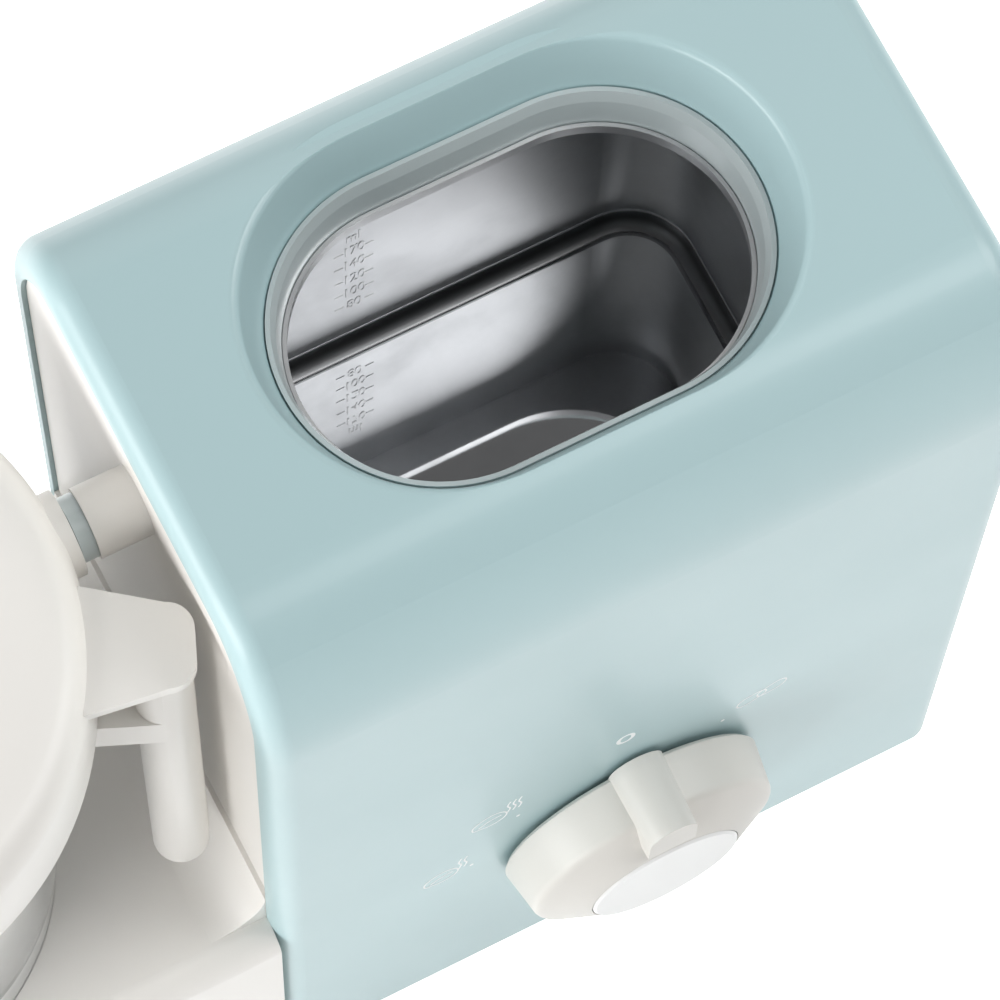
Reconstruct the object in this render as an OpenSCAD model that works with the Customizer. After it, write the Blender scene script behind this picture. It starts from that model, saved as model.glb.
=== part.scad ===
// Baby food maker: a steam tower with a coloured saddle shell and a steel water tank, beside a motor base
// that carries a blending bowl, its blade, a steaming basket and a lid.
// Millimetres. +X to the right, +Y to the back, +Z up, origin under the middle of the whole machine.

/* [Tower] */
// Width of the tower
tower_w = 155; // [140:1:180]
// Depth of the tower, front face to back face
tower_d = 108; // [104:1:130]
// Height of the coloured shell
shell_h = 231; // [220:1:260]
// Wall of the coloured shell
shell_t = 2.8; // [2:0.2:4]
// How far the shell turns in over each side
shell_return = 6.5; // [6:0.5:9]
// Rounding of the shell's side edges
shell_edge_r = 5; // [4.2:0.2:5.5]
// Upper radius of the shoulder between top and front
shoulder_top_r = 18; // [14:1:22]
// Lower radius of the shoulder between top and front
shoulder_front_r = 46; // [40:1:50]
// Thickness of the white side panels
panel_t = 3; // [2:0.5:4]
// How deep a side panel sits inside the shell's edge
panel_inset = 1; // [0.5:0.25:2]

/* [Water tank] */
// Length of the tank's mouth
mouth_l = 89; // [80:1:96]
// Width of the tank's mouth
mouth_w = 56.4; // [50:0.2:60]
// Depth of the mouth's steel rim below the top
mouth_drop = 21; // [19:1:24]
// Flare of the dish round the mouth, from its foot to its lip
dish_flare = 4.2; // [3:0.2:6]
// Depth of the coloured dish
dish_drop = 13; // [11:0.5:14]
// Rounding of the dish's lip
lip_r = 2; // [1.6:0.2:2.4]
// How far the tank lies behind the tower's middle
tank_back = 1; // [0:0.5:3]
// Length of the tank, inside
tank_l = 100; // [94:1:106]
// Width of the tank, inside
tank_w = 67.4; // [62:0.2:72]
// Corner radius of the tank, inside
tank_r = 14; // [10:1:18]
// Depth of the tank's floor below the top
tank_drop = 95; // [80:1:100]
// Rounding between the tank's floor and its wall
tank_floor_r = 4; // [2:0.5:6]
// Steel sheet of the tank
steel_t = 0.8; // [0.6:0.1:1.2]
// Height of the steam outlet below the top
steam_drop = 29; // [28.5:0.5:30.5]
// Bore of the steam way
steam_bore = 7; // [5:0.5:8]

/* [Knob] */
// Radius of the knob at its back
knob_r = 28.5; // [25:0.5:32]
// Depth of the knob's side wall
knob_side = 11.6; // [9:0.2:14]
// Rise of the knob's face from its rim to its cap
knob_dome = 4.2; // [3:0.2:6]
// Radius of the round cap in the knob
knob_cap_r = 16.4; // [14:0.2:18]
// Height of the knob's axis above the shell's foot
knob_up = 62.6; // [50:0.5:75]
// Width of the pointer bar
pointer_w = 12; // [9:0.5:14]
// How far the pointer bar stands out beyond the knob's rim
pointer_out = 4.6; // [3:0.2:6]

/* [Base and bowl] */
// Width of the base beside the tower
base_w = 139; // [136:1:155]
// Depth of the base
base_d = 108; // [104:1:116]
// Height of the bowl platform above the shell's foot
base_h = 81; // [78:1:92]
// Plan radius of the base's outer corners
base_corner_r = 42; // [30:1:52]
// Rounding of the platform's edge
base_edge_r = 6; // [3:1:8]
// Wall of the base housing
base_wall = 3; // [2.4:0.2:4]
// Distance from the base's outer end to the bowl's axis
bowl_from_end = 64.5; // [63:0.5:70]
// Outer radius of the bowl at its rim
bowl_rim_r = 55.5; // [54:0.5:56.5]
// Outer radius of the bowl at its foot
bowl_foot_r = 46; // [45:0.5:47.5]
// How far the bowl's rim lies below the tower's top
rim_drop = 36; // [34.5:0.5:37.5]
// Wall of the bowl
bowl_wall = 2.6; // [2:0.2:3.2]
// Direction of the handle, turned from the front towards the tower
handle_turn = 67; // [62:1:70]
// Width of the handle
handle_w = 14; // [12:1:18]
// Thickness of the handle
handle_t = 11; // [9:1:12]
// Height of the handle's lower end above the platform
handle_lift = 13; // [9:1:24]
// Height of the lid's skirt
lid_skirt_h = 19; // [17:1:21]
// Radius of the blades
blade_r = 37; // [30:1:40]
// Number of blades
blade_count = 4; // [2:2:4]
// Gap between the blade's nut and the basket
basket_gap = 2.4; // [1.5:0.1:8]

/* [Drive] */
// Radius of the motor
motor_r = 25; // [22:1:28]
// Height of the motor
motor_h = 50; // [42:1:52]
// Radius of the motor's shaft
shaft_r = 3; // [2.5:0.25:4]
// Number of dogs on the coupling
dog_count = 6; // [4:1:8]
// Height of the feet
foot_h = 4; // [3:0.5:6]

/* [Hidden] */
$fn = 64;
fit = 0.2;      // clearance between parts that drop into each other
run_fit = 0.05; // radial clearance of a turning shaft
tiny = 0.01;
screw_r = 1.6;
screw_head_r = 3;
screw_head_h = 1.8;
screw_grip = 8; // how far a screw reaches into what it holds

// Heights
tray_t = 3;
foot_z = foot_h + tray_t;         // the shell and the base stand on the tray here
top_z = foot_z + shell_h;
platform_z = foot_z + base_h;
seat_drop = 4;
seat_z = platform_z - seat_drop;
rim_z = top_z - rim_drop;
bowl_h = rim_z - seat_z;
steam_z = top_z - steam_drop;

// Plan
knob_gap = 1;
pointer_reach = 1.42 * knob_side;
cap_rise = 0.5;
knob_out = knob_gap + max(knob_side + knob_dome + cap_rise, pointer_reach);
gland_out = 5;
rim_flange = 1.6;
lid_gap = 0.3;
lid_wall = 2.4;
lid_over = bowl_rim_r + rim_flange + lid_gap + lid_wall - tower_d / 2; // how far the lid passes the tower's back
machine_w = tower_w + base_w;
tower_x = (machine_w - tower_w) / 2;
tower_y = (knob_out - max(gland_out, lid_over)) / 2;
side_x = tower_w / 2;
front_y = -tower_d / 2;
inner_y = front_y + shell_t;
panel_out_x = side_x - panel_inset;
panel_in_x = panel_out_x - panel_t;
bowl_x = -machine_w / 2 + bowl_from_end;
bowl_reach = tower_x - side_x - bowl_x;    // bowl axis to the tower's side
mouth_run = mouth_l - mouth_w;
mouth_r = mouth_w / 2;

// Shoulder arcs, seen from the side; they meet on a line that leans 3 across for 4 up
shoulder_split = atan2(4, 3);
arc1_y = front_y + shoulder_front_r - (shoulder_front_r - shoulder_top_r) * 0.8;
arc1_z = top_z - shoulder_top_r;
arc2_y = front_y + shoulder_front_r;
arc2_z = arc1_z - (shoulder_front_r - shoulder_top_r) * 0.6;

// ---------- shared shapes ----------

// Rounded rectangle, centred
module plate_2d(w, d, r) {
    square([w - 2 * r, d], center = true);
    square([w, d - 2 * r], center = true);
    for (sx = [-1, 1], sy = [-1, 1]) translate([sx * (w / 2 - r), sy * (d / 2 - r)]) circle(r);
}

// Slot shape with round ends, centred
module obround_2d(l, w) {
    square([l - w, w], center = true);
    for (s = [-1, 1]) translate([s * (l - w) / 2, 0]) circle(w / 2);
}

// Sweeps a profile (distance out from the corner centres, height) round a rectangle of corner centres
module sweep_round(run_x, run_y) {
    for (i = [0:3])
        translate([(i == 0 || i == 3 ? 1 : -1) * run_x / 2, (i < 2 ? 1 : -1) * run_y / 2, 0])
            rotate([0, 0, 90 * i]) rotate_extrude(angle = 90) children();
    if (run_y > tiny) for (a = [0, 180])
        rotate([0, 0, a]) translate([run_x / 2, run_y / 2, 0]) rotate([90, 0, 0]) linear_extrude(run_y) children();
    if (run_x > tiny) for (a = [90, 270])
        rotate([0, 0, a]) translate([run_y / 2, run_x / 2, 0]) rotate([90, 0, 0]) linear_extrude(run_x) children();
}

// Block with a rounded plan and one rounded edge, standing on z = 0; the edge is at the top, or at the bottom
module soft_block(w, d, h, plan_r, edge_r, at_bottom = false) {
    run_x = w - 2 * plan_r;
    run_y = d - 2 * plan_r;
    translate([0, 0, at_bottom ? h : 0]) mirror([0, 0, at_bottom ? 1 : 0]) {
        sweep_round(run_x, run_y) edge_profile(plan_r, h, edge_r);
        if (run_x > tiny && run_y > tiny)
            translate([-run_x / 2, -run_y / 2, 0]) cube([run_x, run_y, h]);
    }
}

module edge_profile(r, h, edge_r) {
    square([r, h - edge_r]);
    square([r - edge_r, h]);
    intersection() {
        translate([r - edge_r, h - edge_r]) circle(edge_r);
        translate([r - edge_r - tiny, h - edge_r - tiny]) square(edge_r + 2 * tiny);
    }
}

// Ring from one radius to another
module ring(r_out, r_in, h) {
    difference() {
        cylinder(r = r_out, h = h);
        translate([0, 0, -1]) cylinder(r = r_in, h = h + 2);
    }
}

module in_tower() { translate([tower_x, tower_y, 0]) children(); }
module in_mouth() { in_tower() translate([0, tank_back, 0]) children(); }
module in_bowl() { translate([bowl_x, tower_y, 0]) children(); }
// Moves to the bowl's handle: +X points out along it
module at_handle() { in_bowl() rotate([0, 0, handle_turn - 90]) children(); }
// Turns a shape built up along +Z to point out of the tower's front, at the knob
module at_knob() { in_tower() translate([0, front_y, foot_z + knob_up]) rotate([90, 0, 0]) children(); }

// ---------- tower shell ----------

// Cross-section of the shell: a shallow channel with rounded outer corners, its outer face on y = 0
module channel_2d() {
    deep = 40;
    difference() {
        translate([0, -deep / 2]) plate_2d(tower_w, deep, shell_edge_r);
        translate([0, -deep / 2]) plate_2d(tower_w - 2 * shell_t, deep - 2 * shell_t, shell_edge_r - shell_t);
        translate([-tower_w, -2 * deep]) square([2 * tower_w, 2 * deep - shell_return]);
    }
}

// Quarter turn of the channel about a line along X, from the top to the front
module shoulder_quarter(y, z, r) {
    translate([0, y, z]) rotate([0, 90, 0]) rotate([0, 0, 180])
        rotate_extrude(angle = 90) translate([r, 0]) rotate(-90) channel_2d();
}

// Everything on one side of the line where the shoulder's two arcs meet
module past_the_split(side) {
    far = 2 * shoulder_front_r;
    translate([-tower_w, arc1_y, arc1_z]) rotate([90 + shoulder_split, 0, 0])
        translate([0, -far, side < 0 ? -far : 0]) cube([2 * tower_w, 2 * far, far]);
}

module saddle() {
    for (m = [0, 1]) mirror([0, m, 0]) {
        translate([0, front_y, foot_z]) mirror([0, 1, 0]) linear_extrude(arc2_z - foot_z) channel_2d();
        difference() {
            shoulder_quarter(arc1_y, arc1_z, shoulder_top_r);
            past_the_split(1);
        }
        difference() {
            shoulder_quarter(arc2_y, arc2_z, shoulder_front_r);
            past_the_split(-1);
        }
    }
    translate([0, -arc1_y, top_z]) rotate([90, 0, 0]) linear_extrude(-2 * arc1_y) channel_2d();
}

dish_foot_r = mouth_r + 2.8;
dish_lip_r = dish_foot_r + dish_flare;
dish_wall = 2.4;
lip_turn = 70; // how far the lip's rounding turns

// Upper face of the dish, from its foot to past its lip
function lip_points(grow) = [for (a = [lip_turn:-14:0])
    [dish_lip_r + grow + lip_r * (1 - sin(a)) - lip_r * (1 - sin(lip_turn)), -lip_r * (1 - cos(a))]];

module dish_cut_2d() {
    polygon(concat([[0, -dish_drop - 20], [dish_foot_r, -dish_drop - 20], [dish_foot_r, -dish_drop]],
        lip_points(0), [[lip_points(0)[5][0], 6], [0, 6]]));
}

module dish_wall_2d() {
    polygon([[dish_foot_r - 2, -dish_drop], [dish_foot_r + dish_wall, -dish_drop],
        [dish_lip_r + dish_wall + 1, -shell_t - 1.6], [dish_lip_r + dish_wall + 1, -1.7], [dish_foot_r - 2, -1.7]]);
}

// The coloured saddle over the tower, with the dish round the tank's mouth
module tower_shell() {
    color("#b4cfd3") difference() {
        union() {
            in_tower() saddle();
            in_mouth() translate([0, 0, top_z]) sweep_round(mouth_run, 0) dish_wall_2d();
        }
        in_mouth() translate([0, 0, top_z]) sweep_round(mouth_run, 0) dish_cut_2d();
        at_knob() translate([0, 0, -shell_t - 1]) cylinder(r = switch_neck_r + fit, h = shell_t + 2);
        gland_axis() translate([0, 0, -1]) cylinder(r = gland_r + tiny, h = shell_t + 2);
    }
}

// Outline of the tower's side, drawn inside the shell's outer face by an inset
module side_outline_2d(inset) {
    r1 = shoulder_top_r - inset;
    r2 = shoulder_front_r - inset;
    front = [for (a = [180:-8:90 + shoulder_split]) [arc2_y + r2 * cos(a), arc2_z + r2 * sin(a)]];
    top = [for (a = [90 + shoulder_split:-10:90]) [arc1_y + r1 * cos(a), arc1_z + r1 * sin(a)]];
    half = concat([[front_y + inset, foot_z]], front, top);
    back = [for (i = [len(half) - 1:-1:0]) [-half[i][0], half[i][1]]];
    polygon(concat(half, back));
}

module side_panel() {
    translate([-panel_out_x, 0, 0]) rotate([90, 0, 90]) linear_extrude(panel_t)
        side_outline_2d(shell_return + fit);
}

module side_panel_left() {
    color("#f4f3f0") in_tower() difference() {
        side_panel();
        translate([-side_x, tank_back, steam_z]) rotate([0, 90, 0])
            cylinder(r = nozzle_r + tiny, h = panel_t + panel_inset + 1);
    }
}

module side_panel_right() { color("#f4f3f0") in_tower() mirror([1, 0, 0]) side_panel(); }

// ---------- tank ----------

gasket_h = 9;
gasket_foot = top_z - dish_drop - gasket_h;
collar_margin = 7; // how far the tank's flange stands out beyond its wall
pan_flange_z = gasket_foot - 2 * steel_t;
tank_floor_z = top_z - tank_drop;
frame_t = 3;

// Soft ring between the dish's foot and the steel collar
module tank_gasket() {
    step = 0.9;
    snug = 0.04; // pressed lightly against the dish's foot
    color("#c9cdcd") in_mouth() translate([0, 0, top_z]) sweep_round(mouth_run, 0)
        polygon([[mouth_r, -dish_drop - gasket_h], [dish_foot_r + dish_wall, -dish_drop - gasket_h],
            [dish_foot_r + dish_wall, -dish_drop], [dish_foot_r - snug, -dish_drop],
            [dish_foot_r - snug, -dish_drop + 1.2], [dish_foot_r - snug - step, -dish_drop + 1.2],
            [mouth_r + 0.9, -dish_drop - 1.5], [mouth_r, -mouth_drop + 0.6]]);
}

// Steel plate that closes the tank's top down to the mouth, with a rolled rim
module tank_collar() {
    color("silver") in_mouth() difference() {
        union() {
            translate([0, 0, gasket_foot - steel_t]) linear_extrude(steel_t)
                plate_2d(tank_l + 2 * collar_margin, tank_w + 2 * collar_margin, tank_r + collar_margin);
            translate([0, 0, gasket_foot - 2]) linear_extrude(top_z - mouth_drop - gasket_foot + 2)
                obround_2d(mouth_l - 2 * fit, mouth_w - 2 * fit);
        }
        translate([0, 0, gasket_foot - 10]) linear_extrude(30)
            obround_2d(mouth_l - 2 * fit - 2 * steel_t, mouth_w - 2 * fit - 2 * steel_t);
    }
}

module pan_solid(grow, from_z, to_z, floor_r) {
    translate([0, 0, from_z])
        soft_block(tank_l + 2 * grow, tank_w + 2 * grow, to_z - from_z, tank_r + grow, floor_r, true);
}

// Deep-drawn steel pan
module tank_pan() {
    floor_r = tank_floor_r;
    color("silver") in_mouth() difference() {
        union() {
            pan_solid(steel_t, tank_floor_z - steel_t, pan_flange_z + steel_t / 2, floor_r + steel_t);
            translate([0, 0, pan_flange_z]) linear_extrude(steel_t)
                plate_2d(tank_l + 2 * collar_margin, tank_w + 2 * collar_margin, tank_r + collar_margin);
        }
        pan_solid(0, tank_floor_z, pan_flange_z + 5, floor_r);
        translate([-tank_l, 0, steam_z]) rotate([0, 90, 0]) cylinder(r = steam_bore / 2, h = tank_l);
    }
}

// Frame on four posts that carries the tank and stiffens the tower
post = 8;
post_x = tower_w / 2 - 14.5;
post_y = tower_d / 2 - 13;
module tank_frame() {
    frame_top = pan_flange_z;
    color("#e8e6e2") in_tower() difference() {
        union() {
            translate([0, tank_back / 2, frame_top - frame_t]) linear_extrude(frame_t)
                plate_2d(2 * panel_in_x, 2 * post_y + post + 1, 4);
            for (sx = [-1, 1], sy = [-1, 1])
                translate([sx * post_x - post / 2, sy * post_y - post / 2, foot_z])
                    cube([post, post, frame_top - foot_z - frame_t / 2]);
        }
        translate([0, tank_back, frame_top - frame_t - 1]) linear_extrude(frame_t + 2)
            plate_2d(tank_l + 2 * steel_t + 2 * fit, tank_w + 2 * steel_t + 2 * fit, tank_r + steel_t + fit);
        translate([-side_x, tank_back - nozzle_r - 3.5, frame_top - frame_t - 1])
            cube([side_x - tank_l / 2, 2 * nozzle_r + 7, frame_t + 2]);
        for (sx = [-1, 1], sy = [-1, 1]) translate([sx * post_x, sy * post_y, foot_z - 1])
            cylinder(r = screw_r + 0.1, h = screw_grip + 3);
    }
}

heat_plate_t = 3;
heat_plate_z = tank_floor_z - steel_t - heat_plate_t;
tube_r = 3.3;
tube_run = 34;
tube_bend_r = 18.5;
terminal_r = 2.4;
terminal_h = 16;
thermostat_h = 8;
lug_t = 0.8;
lug_w = 5;
lug_h = 7;
fuse_r = 2.6;
fuse_l = 14;
fuse_lead = 3;

// Aluminium plate under the tank's floor
module heat_plate() {
    color("#c8cacc") in_mouth() translate([0, 0, heat_plate_z]) linear_extrude(heat_plate_t)
        plate_2d(tube_run + 2 * tube_bend_r + 12, 2 * tube_bend_r + 14, 14);
}

// Sheathed heating tube, a loop under the plate with two terminals
module heating_tube() {
    loop_z = heat_plate_z - tube_r;
    color("#8a8d90") in_mouth() {
        translate([0, 0, loop_z]) sweep_round(tube_run, 0) translate([tube_bend_r, 0]) circle(tube_r);
        for (s = [-1, 1]) translate([tube_run / 2 - terminal_r, s * tube_bend_r, loop_z - terminal_h])
            cylinder(r = terminal_r, h = terminal_h);
    }
}

module thermostat() {
    disc_r = tube_bend_r - tube_r - 3;
    color("#d8cfc0") in_mouth() translate([0, 0, heat_plate_z - thermostat_h]) {
        cylinder(r = disc_r, h = thermostat_h);
        for (s = [-1, 1]) translate([s * disc_r / 2 - lug_t / 2, -lug_w / 2, -lug_h]) cube([lug_t, lug_w, lug_h + 1]);
    }
}

module thermal_fuse() {
    color("#c9a86a") in_mouth() translate([tube_run / 2 + fuse_r + 1.4, -fuse_l / 2, heat_plate_z - fuse_r])
        rotate([-90, 0, 0]) {
            cylinder(r = fuse_r, h = fuse_l);
            translate([0, 0, -fuse_lead]) cylinder(r = 0.7, h = fuse_l + 2 * fuse_lead);
        }
}

// ---------- steam way ----------

nozzle_r = steam_bore / 2 + 3.4;
nozzle_flange_t = 2;
nozzle_seal_t = 3;
port_face = 61.8;                                  // bowl axis to the flat face of the lid's steam port
seal_face_x = -side_x - bowl_reach + port_face + 0.3;  // outer end of the nozzle's seal, in the tower

module steam_tube() {
    from_x = -tank_l / 2 - steel_t;
    to_x = -panel_in_x + nozzle_flange_t;
    color("#e6e6e2") in_mouth() translate([to_x, 0, steam_z]) rotate([0, 90, 0])
        ring(steam_bore / 2 + 1.6, steam_bore / 2, from_x - to_x);
}

module steam_nozzle() {
    end_x = seal_face_x + nozzle_seal_t;
    color("#eceae6") in_mouth() translate([0, 0, steam_z]) rotate([0, 90, 0]) difference() {
        union() {
            translate([0, 0, end_x]) cylinder(r = nozzle_r, h = -panel_in_x - end_x + nozzle_flange_t);
            translate([0, 0, -panel_in_x]) cylinder(r = nozzle_r + 3, h = nozzle_flange_t);
        }
        translate([0, 0, end_x - 1]) cylinder(r = steam_bore / 2, h = tower_w / 2);
    }
}

module nozzle_seal() {
    color("#c9cdcd") in_mouth() translate([seal_face_x, 0, steam_z]) rotate([0, 90, 0])
        ring(nozzle_r - 0.6, steam_bore / 2, nozzle_seal_t);
}

// ---------- knob and switch ----------

spindle_r = 3;
switch_neck_r = 5;
switch_size = 34;
switch_depth = 20;
knob_rim_r = knob_r - 1.4;
rim_round = 2.2;
cap_t = 2;

// Half outline of the knob: side wall, rounded rim and shallow cone up to the cap's seat
function knob_outline() = let (z1 = knob_gap + knob_side, z2 = z1 + knob_dome) concat(
    [[0, knob_gap], [knob_r - 0.8, knob_gap], [knob_r, knob_gap + 0.8]],
    [for (a = [0:18:72]) [knob_rim_r - rim_round + rim_round * cos(a), z1 - rim_round + rim_round * sin(a)]],
    [[knob_cap_r + fit, z2], [knob_cap_r + fit, z2 - cap_t], [0, z2 - cap_t]]);

module knob() {
    hub_r = 7;
    wall = 2.4;
    color("#f1eeea") at_knob() difference() {
        union() {
            rotate_extrude() polygon(knob_outline());
            pointer_bar();
        }
        translate([0, 0, knob_gap - 1]) difference() {
            cylinder(r = knob_rim_r - rim_round - wall, h = knob_side - 1);
            cylinder(r = hub_r, h = knob_side);
        }
        translate([0, 0, -1]) cylinder(r = spindle_r, h = knob_gap + knob_side);
    }
}

// Half-round bar across the top of the knob's rim, narrowing to the front
module pointer_bar() {
    bar_r = pointer_w / 2;
    end_r = bar_r * 0.88;
    seat = knob_r + pointer_out - bar_r;
    inner = knob_r * 0.5;
    z0 = knob_gap;
    intersection() {
        union() {
            translate([0, seat, z0]) cylinder(r1 = bar_r, r2 = end_r, h = pointer_reach);
            translate([0, seat - 7, z0]) rotate([90, 0, 0]) translate([0, 0, -7]) linear_extrude(7)
                polygon([[-bar_r, 0], [bar_r, 0], [end_r, pointer_reach], [-end_r, pointer_reach]]);
        }
        translate([-pointer_w, inner, z0]) cube([2 * pointer_w, knob_r * 2, pointer_reach]);
    }
}

module knob_cap() {
    color("#f7f6f4") at_knob() translate([0, 0, knob_gap + knob_side + knob_dome - cap_t])
        rotate_extrude() polygon([[0, 0], [knob_cap_r, 0], [knob_cap_r, cap_t + cap_rise - 0.5],
            [knob_cap_r - 0.5, cap_t + cap_rise], [0, cap_t + cap_rise]]);
}

module switch_shaft() {
    color("silver") at_knob() translate([0, 0, -shell_t - switch_depth + 6])
        cylinder(r = spindle_r - run_fit, h = shell_t + switch_depth - 6 + knob_gap + knob_side - 2);
}

module rotary_switch() {
    color("#3c3d40") at_knob() difference() {
        union() {
            translate([0, 0, -shell_t - switch_depth]) linear_extrude(switch_depth)
                plate_2d(switch_size, switch_size, 4);
            translate([0, 0, -shell_t - 1]) cylinder(r = switch_neck_r, h = shell_t + 1.5);
            for (s = [-1, 1], k = [-1:1]) translate([s * 10 - 0.4, k * 9 - 2.4, -shell_t - switch_depth - 7])
                cube([0.8, 4.8, 8]);
        }
        translate([0, 0, -shell_t - switch_depth + 5]) cylinder(r = spindle_r, h = shell_t + switch_depth);
    }
}

// ---------- electronics and inlet ----------

board_w = 64;
board_h = 88;
board_t = 1.6;
spacer_h = 4;
board_z = foot_z + 22;
gland_r = 6;
module on_back_wall() { in_tower() translate([0, -inner_y, board_z]) rotate([90, 0, 0]) children(); }

module board_spacers() {
    color("#e8e6e2") on_back_wall() for (sx = [-1, 1], sy = [0, 1])
        translate([sx * (board_w / 2 - 5), 5 + sy * (board_h - 10), 0]) cylinder(r = 3, h = spacer_h);
}

module control_board() {
    color("#2f6b45") on_back_wall() translate([-board_w / 2, 0, spacer_h]) cube([board_w, board_h, board_t]);
}

// Relay, transformer, capacitors and terminal strip
relay_w = 18;
relay_h = 15;
transformer_w = 24;
transformer_l = 20;
transformer_h = 17;
capacitor_r = 4.5;
capacitor_h = 13;
capacitor_pitch = 16;
strip_w = 46;
strip_l = 8;
strip_h = 9;
part_margin = 8; // from the board's edge to its parts
module board_parts() {
    color("#2b3a52") on_back_wall() translate([0, 0, spacer_h + board_t]) {
        translate([part_margin - board_w / 2, part_margin, 0]) cube([relay_w, relay_h, relay_h]);
        translate([board_w / 2 - part_margin - transformer_w, part_margin, 0])
            cube([transformer_w, transformer_l, transformer_h]);
        for (k = [-1:1]) translate([k * capacitor_pitch, board_h / 2 + capacitor_r, 0])
            cylinder(r = capacitor_r, h = capacitor_h);
        translate([-strip_w / 2, board_h - part_margin - strip_l, 0]) cube([strip_w, strip_l, strip_h]);
    }
}

module gland_axis() {
    in_tower() translate([tower_w / 2 - 32, tower_d / 2 - shell_t, foot_z + 14]) rotate([-90, 0, 0]) children();
}

// Moulded bush where the mains lead enters, low on the back
module cord_gland() {
    lead_r = 3.5;
    color("#e2e0dc") gland_axis() difference() {
        union() {
            cylinder(r = gland_r, h = shell_t + 1);
            translate([0, 0, -2]) cylinder(r = gland_r + 2, h = 2);
            translate([0, 0, shell_t]) cylinder(r1 = gland_r + 2, r2 = gland_r, h = gland_out);
        }
        translate([0, 0, -3]) cylinder(r = lead_r, h = shell_t + gland_out + 6);
    }
}

// ---------- base ----------

tray_gap = 1.2;
foot_r = 8;
base_end_x = -machine_w / 2;
join_x = tower_x - side_x;

// Plan of the base beside the tower, reaching past the joint by an overlap
module base_plan_2d(inset, past) {
    intersection() {
        translate([(base_end_x + join_x + 2 * base_corner_r) / 2, tower_y])
            plate_2d(base_w + 2 * base_corner_r - 2 * inset, base_d - 2 * inset, base_corner_r - inset);
        translate([base_end_x - 1, tower_y - base_d]) square([base_w + 1 + past, 2 * base_d]);
    }
}

// Floor of the whole machine
module base_tray() {
    slot_l = 26;
    slot_w = 3;
    color("#e8e6e2") difference() {
        translate([0, 0, foot_h]) linear_extrude(tray_t) {
            translate([tower_x, tower_y]) plate_2d(tower_w - 2 * tray_gap, tower_d - 2 * tray_gap, 3);
            base_plan_2d(tray_gap, tray_gap * 4);
        }
        in_bowl() for (k = [-4:4]) translate([k * 2 * slot_w - slot_w / 2, -slot_l / 2, foot_h - 1])
            cube([slot_w, slot_l, tray_t + 2]);
        in_tower() for (sx = [-1, 1], sy = [-1, 1]) translate([sx * post_x, sy * post_y, foot_h - 1])
            cylinder(r = screw_r + 0.1, h = tray_t + 2);
    }
}

module feet() {
    inset_x = 16;
    inset_y = 18;
    color("#55575a") for (sy = [-1, 1]) {
        translate([machine_w / 2 - inset_x, tower_y + sy * (tower_d / 2 - inset_y - 8), 0])
            cylinder(r = foot_r, h = foot_h);
        translate([bowl_x - 22, tower_y + sy * (base_d / 2 - inset_y), 0]) cylinder(r = foot_r, h = foot_h);
    }
}

module tray_screws() {
    color("#9a9c9f") in_tower() for (sx = [-1, 1], sy = [-1, 1])
        translate([sx * post_x, sy * post_y, foot_h - screw_head_h]) {
            cylinder(r = screw_head_r, h = screw_head_h);
            cylinder(r = screw_r, h = screw_head_h + tray_t + screw_grip);
        }
}

bush_r = 6;
boss_ring_r = 34;
plate_z = platform_z - seat_drop - base_wall - 8;   // top of the motor plate
motor_plate_t = 2;
pin_r = 2.5;
pin_at = bowl_foot_r - bowl_wall / 2;               // the pin stands under the bowl's foot
seat_r = bowl_foot_r + 0.4;
switch_w = 10;
switch_l = 16;
switch_h = 10;
switch_lever = 1.3; // height of the lever over the switch, pressed down
switch_top = seat_z - 16;
boss_r = 5;
boss_bore = 7; // depth of a screw hole in its boss

// White housing under the bowl
module motor_base() {
    cove_r = 12;
    color("#f6f5f2") difference() {
        union() {
            intersection() {
                translate([(base_end_x + join_x + 2 * base_corner_r) / 2, tower_y, foot_z])
                    soft_block(base_w + 2 * base_corner_r, base_d, base_h, base_corner_r, base_edge_r);
                translate([base_end_x - 1, tower_y - base_d, 0]) cube([base_w + 1, 2 * base_d, top_z]);
            }
            cove(cove_r);
        }
        difference() {
            translate([0, 0, foot_z - 1]) linear_extrude(base_h + 1 - base_wall) base_plan_2d(base_wall, -base_wall);
            in_bowl() translate([0, 0, seat_z - base_wall]) cylinder(r = seat_r + base_wall, h = 20);
            in_bowl() for (a = [30, 150, 270]) rotate([0, 0, a]) translate([boss_ring_r, 0, plate_z])
                cylinder(r = boss_r, h = 40);
            in_bowl() cylinder(r = bush_r + 3, h = seat_z + 1 - 0.001, center = false);
            in_bowl() translate([pin_at + switch_w / 2, -switch_l / 2 - 1, switch_top - switch_h - 2])
                cube([base_wall, switch_l + 2, platform_z - switch_top + switch_h]);
        }
        in_bowl() {
            translate([0, 0, seat_z]) cylinder(r = seat_r, h = 30);
            translate([0, 0, seat_z - 30]) cylinder(r = bush_r, h = 40);
            translate([0, 0, -1]) cylinder(r = bush_r + 4, h = seat_z - base_wall - 5);
            translate([pin_at, 0, seat_z - 20]) cylinder(r = pin_r + run_fit, h = 30);
            for (a = [30, 150, 270]) rotate([0, 0, a]) translate([boss_ring_r, 0, plate_z - 1])
                cylinder(r = screw_r + 0.1, h = boss_bore + 1);
        }
    }
}

// Hollow fillet that leads the platform up to the tower's side panel
module cove(r) {
    half = tower_d / 2 - shell_return - fit;
    translate([join_x - r, tower_y + half, platform_z]) rotate([90, 0, 0]) linear_extrude(2 * half) difference() {
        translate([0, -1]) square([r + panel_inset, r + 1]);
        translate([0, r]) circle(r);
    }
}

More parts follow.
